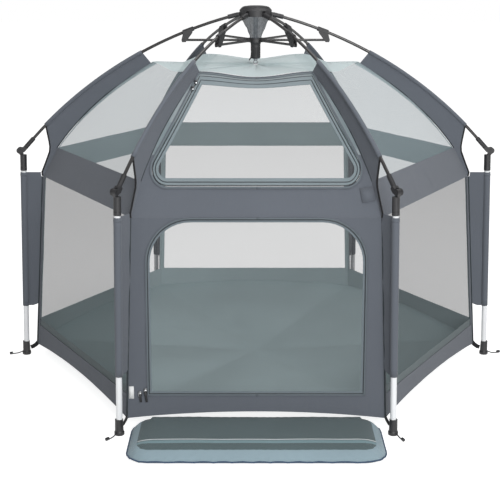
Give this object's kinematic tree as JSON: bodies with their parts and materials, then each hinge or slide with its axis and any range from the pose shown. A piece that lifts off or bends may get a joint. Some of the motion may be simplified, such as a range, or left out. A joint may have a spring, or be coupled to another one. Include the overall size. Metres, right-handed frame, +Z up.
{
  "type": "travel play yard",
  "caption": "Folding hexagonal pop-up play yard: sprung hub, jointed arms and legs, mesh walls, zipped door and window panels, floor cloth and door mat.",
  "frame": {"origin": "on the floor, on the hub axis, in the plane of the six feet", "axes": "+Z up, +X to the right seen from the doorway, the doorway and mat face -Y"},
  "size_m": [1.4268, 1.4145, 1.046],
  "materials": {
    "black_pole": "satin",
    "black_plastic": "matte",
    "white_tube": "gloss",
    "steel": "brushed",
    "slate_cloth": "woven",
    "mesh": "fine mesh",
    "sheer_roof": "sheer",
    "grey_sheer": "sheer",
    "teal_floor": "coated",
    "teal_mat": "quilted"
  },
  "bodies": {
    "hub": {"crown": "black_plastic", "hub_cap": "black_plastic", "centre_post": "steel", "hub_pins": "steel", "opening_spring": "steel", "guard_cone": "grey_sheer", "roof_centre": "sheer_roof"},
    "runner": {"runner": "black_plastic"},
    "release": {"release_lever": "black_plastic"},
    "mat": {"door_mat": "teal_mat"},
    "door": {"door_panel": "slate_cloth"},
    "window": {"window_panel": "mesh"},
    "arm_right": {"arm_pole_right": "black_pole", "arm_fittings_right": "black_plastic", "dome_panel_right": "slate_cloth"},
    "leg_right": {"leg_tube_right": "white_tube", "leg_fittings_right": "black_plastic", "wall_panel_right": "slate_cloth"},
    "strut_right": {"strut_right": "black_pole"},
    "floor_right": {"floor_panel_right": "teal_floor"},
    "arm_back_right": {"arm_pole_back_right": "black_pole", "arm_fittings_back_right": "black_plastic", "dome_panel_back_right": "slate_cloth"},
    "leg_back_right": {"leg_tube_back_right": "white_tube", "leg_fittings_back_right": "black_plastic", "wall_panel_back_right": "slate_cloth"},
    "strut_back_right": {"strut_back_right": "black_pole"},
    "floor_back_right": {"floor_panel_back_right": "teal_floor"},
    "arm_back_left": {"arm_pole_back_left": "black_pole", "arm_fittings_back_left": "black_plastic", "dome_panel_back_left": "slate_cloth"},
    "leg_back_left": {"leg_tube_back_left": "white_tube", "leg_fittings_back_left": "black_plastic", "wall_panel_back_left": "slate_cloth"},
    "strut_back_left": {"strut_back_left": "black_pole"},
    "floor_back_left": {"floor_panel_back_left": "teal_floor"},
    "arm_left": {"arm_pole_left": "black_pole", "arm_fittings_left": "black_plastic", "dome_panel_left": "slate_cloth"},
    "leg_left": {"leg_tube_left": "white_tube", "leg_fittings_left": "black_plastic", "wall_panel_left": "slate_cloth"},
    "strut_left": {"strut_left": "black_pole"},
    "floor_left": {"floor_panel_left": "teal_floor"},
    "arm_front_left": {"arm_pole_front_left": "black_pole", "arm_fittings_front_left": "black_plastic", "dome_panel_front_left": "slate_cloth"},
    "leg_front_left": {"leg_tube_front_left": "white_tube", "leg_fittings_front_left": "black_plastic", "wall_panel_front_left": "slate_cloth"},
    "strut_front_left": {"strut_front_left": "black_pole"},
    "floor_front_left": {"floor_panel_front_left": "teal_floor"},
    "arm_front_right": {"arm_pole_front_right": "black_pole", "arm_fittings_front_right": "black_plastic", "dome_panel_front_right": "slate_cloth"},
    "leg_front_right": {"leg_tube_front_right": "white_tube", "leg_fittings_front_right": "black_plastic", "wall_panel_front_right": "slate_cloth"},
    "strut_front_right": {"strut_front_right": "black_pole"},
    "floor_front_right": {"floor_panel_front_right": "teal_floor"}
  },
  "joints": [
    {"name": "frame_fold", "type": "hinge", "parent": "hub", "child": "arm_front_left", "pos_m": [-0.018, -0.03118, 1.025], "axis": [0.866, -0.5, 0], "range_deg": [0, 58], "deforming": ["opening_spring", "guard_cone", "dome_panel_right", "dome_panel_back_right", "dome_panel_back_left", "dome_panel_left", "dome_panel_front_left", "dome_panel_front_right", "wall_panel_right", "wall_panel_back_right", "wall_panel_back_left", "wall_panel_left", "wall_panel_front_left", "wall_panel_front_right", "floor_panel_right", "floor_panel_back_right", "floor_panel_back_left", "floor_panel_left", "floor_panel_front_left", "floor_panel_front_right", "door_panel", "window_panel", "roof_centre"]},
    {"name": "arm_fold_right", "type": "hinge", "parent": "hub", "child": "arm_right", "pos_m": [0.036, 0, 1.025], "axis": [0, 1, 0], "range_deg": [0, 58]},
    {"name": "arm_fold_back_right", "type": "hinge", "parent": "hub", "child": "arm_back_right", "pos_m": [0.018, 0.03118, 1.025], "axis": [-0.866, 0.5, 0], "range_deg": [0, 58]},
    {"name": "arm_fold_back_left", "type": "hinge", "parent": "hub", "child": "arm_back_left", "pos_m": [-0.018, 0.03118, 1.025], "axis": [-0.866, -0.5, 0], "range_deg": [0, 58]},
    {"name": "arm_fold_left", "type": "hinge", "parent": "hub", "child": "arm_left", "pos_m": [-0.036, 0, 1.025], "axis": [0, -1, 0], "range_deg": [0, 58]},
    {"name": "arm_fold_front_right", "type": "hinge", "parent": "hub", "child": "arm_front_right", "pos_m": [0.018, -0.03118, 1.025], "axis": [0.866, 0.5, 0], "range_deg": [0, 58]},
    {"name": "knee_front_left", "type": "hinge", "parent": "arm_front_left", "child": "leg_front_left", "pos_m": [-0.345, -0.59756, 0.631], "axis": [-0.866, 0.5, 0], "range_deg": [0, 220]},
    {"name": "floor_fold_front_left", "type": "hinge", "parent": "leg_front_left", "child": "floor_front_left", "pos_m": [-0.331, -0.57331, 0.0317], "axis": [0.866, -0.5, 0], "range_deg": [0, 86]},
    {"name": "knee_right", "type": "hinge", "parent": "arm_right", "child": "leg_right", "pos_m": [0.69, 0, 0.631], "axis": [0, -1, 0], "range_deg": [0, 220]},
    {"name": "floor_fold_right", "type": "hinge", "parent": "leg_right", "child": "floor_right", "pos_m": [0.662, 0, 0.0317], "axis": [0, 1, 0], "range_deg": [0, 86]},
    {"name": "knee_back_right", "type": "hinge", "parent": "arm_back_right", "child": "leg_back_right", "pos_m": [0.345, 0.59756, 0.631], "axis": [0.866, -0.5, 0], "range_deg": [0, 220]},
    {"name": "floor_fold_back_right", "type": "hinge", "parent": "leg_back_right", "child": "floor_back_right", "pos_m": [0.331, 0.57331, 0.0317], "axis": [-0.866, 0.5, 0], "range_deg": [0, 86]},
    {"name": "knee_back_left", "type": "hinge", "parent": "arm_back_left", "child": "leg_back_left", "pos_m": [-0.345, 0.59756, 0.631], "axis": [0.866, 0.5, 0], "range_deg": [0, 220]},
    {"name": "floor_fold_back_left", "type": "hinge", "parent": "leg_back_left", "child": "floor_back_left", "pos_m": [-0.331, 0.57331, 0.0317], "axis": [-0.866, -0.5, 0], "range_deg": [0, 86]},
    {"name": "knee_left", "type": "hinge", "parent": "arm_left", "child": "leg_left", "pos_m": [-0.69, 0, 0.631], "axis": [0, 1, 0], "range_deg": [0, 220]},
    {"name": "floor_fold_left", "type": "hinge", "parent": "leg_left", "child": "floor_left", "pos_m": [-0.662, 0, 0.0317], "axis": [0, -1, 0], "range_deg": [0, 86]},
    {"name": "knee_front_right", "type": "hinge", "parent": "arm_front_right", "child": "leg_front_right", "pos_m": [0.345, -0.59756, 0.631], "axis": [-0.866, -0.5, 0], "range_deg": [0, 220]},
    {"name": "floor_fold_front_right", "type": "hinge", "parent": "leg_front_right", "child": "floor_front_right", "pos_m": [0.331, -0.57331, 0.0317], "axis": [0.866, 0.5, 0], "range_deg": [0, 86]},
    {"name": "runner_slide", "type": "slide", "parent": "hub", "child": "runner", "axis": [0, 0, 1], "range_m": [0, 0.07212]},
    {"name": "strut_fold_front_left", "type": "hinge", "parent": "runner", "child": "strut_front_left", "pos_m": [-0.01, -0.01732, 0.95], "axis": [0.866, -0.5, 0], "range_deg": [0, 76.89]},
    {"name": "strut_fold_right", "type": "hinge", "parent": "runner", "child": "strut_right", "pos_m": [0.02, 0, 0.95], "axis": [0, 1, 0], "range_deg": [0, 76.89]},
    {"name": "strut_fold_back_right", "type": "hinge", "parent": "runner", "child": "strut_back_right", "pos_m": [0.01, 0.01732, 0.95], "axis": [-0.866, 0.5, 0], "range_deg": [0, 76.89]},
    {"name": "strut_fold_back_left", "type": "hinge", "parent": "runner", "child": "strut_back_left", "pos_m": [-0.01, 0.01732, 0.95], "axis": [-0.866, -0.5, 0], "range_deg": [0, 76.89]},
    {"name": "strut_fold_left", "type": "hinge", "parent": "runner", "child": "strut_left", "pos_m": [-0.02, 0, 0.95], "axis": [0, -1, 0], "range_deg": [0, 76.89]},
    {"name": "strut_fold_front_right", "type": "hinge", "parent": "runner", "child": "strut_front_right", "pos_m": [0.01, -0.01732, 0.95], "axis": [0.866, 0.5, 0], "range_deg": [0, 76.89]},
    {"name": "release_press", "type": "hinge", "parent": "runner", "child": "release", "pos_m": [-0.0118, 0, 0.9185], "axis": [0, 1, 0], "range_deg": [0, 12], "stiffness_Nm_per_rad": 0.05},
    {"name": "door_swing", "type": "hinge", "parent": "leg_front_left", "child": "door", "pos_m": [0, -0.57164, 0.0985], "axis": [1, 0, 0], "range_deg": [0, 90]},
    {"name": "window_swing", "type": "hinge", "parent": "arm_front_left", "child": "window", "pos_m": [0, -0.268, 0.8715], "axis": [1, 0, 0], "range_deg": [0, 45]},
    {"name": "mat_slide", "type": "slide", "parent": "hub", "child": "mat", "axis": [0, -1, 0], "range_m": [0, 0.3]}
  ],
  "couplings": [
    {"joint": "arm_fold_right", "follows": "frame_fold", "ratio": 1},
    {"joint": "arm_fold_back_right", "follows": "frame_fold", "ratio": 1},
    {"joint": "arm_fold_back_left", "follows": "frame_fold", "ratio": 1},
    {"joint": "arm_fold_left", "follows": "frame_fold", "ratio": 1},
    {"joint": "arm_fold_front_right", "follows": "frame_fold", "ratio": 1},
    {"joint": "knee_front_left", "follows": "frame_fold", "ratio": 3.7931},
    {"joint": "floor_fold_front_left", "follows": "frame_fold", "ratio": 1.4828},
    {"joint": "knee_right", "follows": "frame_fold", "ratio": 3.7931},
    {"joint": "floor_fold_right", "follows": "frame_fold", "ratio": 1.4828},
    {"joint": "knee_back_right", "follows": "frame_fold", "ratio": 3.7931},
    {"joint": "floor_fold_back_right", "follows": "frame_fold", "ratio": 1.4828},
    {"joint": "knee_back_left", "follows": "frame_fold", "ratio": 3.7931},
    {"joint": "floor_fold_back_left", "follows": "frame_fold", "ratio": 1.4828},
    {"joint": "knee_left", "follows": "frame_fold", "ratio": 3.7931},
    {"joint": "floor_fold_left", "follows": "frame_fold", "ratio": 1.4828},
    {"joint": "knee_front_right", "follows": "frame_fold", "ratio": 3.7931},
    {"joint": "floor_fold_front_right", "follows": "frame_fold", "ratio": 1.4828},
    {"joint": "runner_slide", "follows": "frame_fold", "m_per_rad": 0.071241},
    {"joint": "strut_fold_front_left", "follows": "frame_fold", "ratio": 1.3257},
    {"joint": "strut_fold_right", "follows": "frame_fold", "ratio": 1.3257},
    {"joint": "strut_fold_back_right", "follows": "frame_fold", "ratio": 1.3257},
    {"joint": "strut_fold_back_left", "follows": "frame_fold", "ratio": 1.3257},
    {"joint": "strut_fold_left", "follows": "frame_fold", "ratio": 1.3257},
    {"joint": "strut_fold_front_right", "follows": "frame_fold", "ratio": 1.3257}
  ]
}
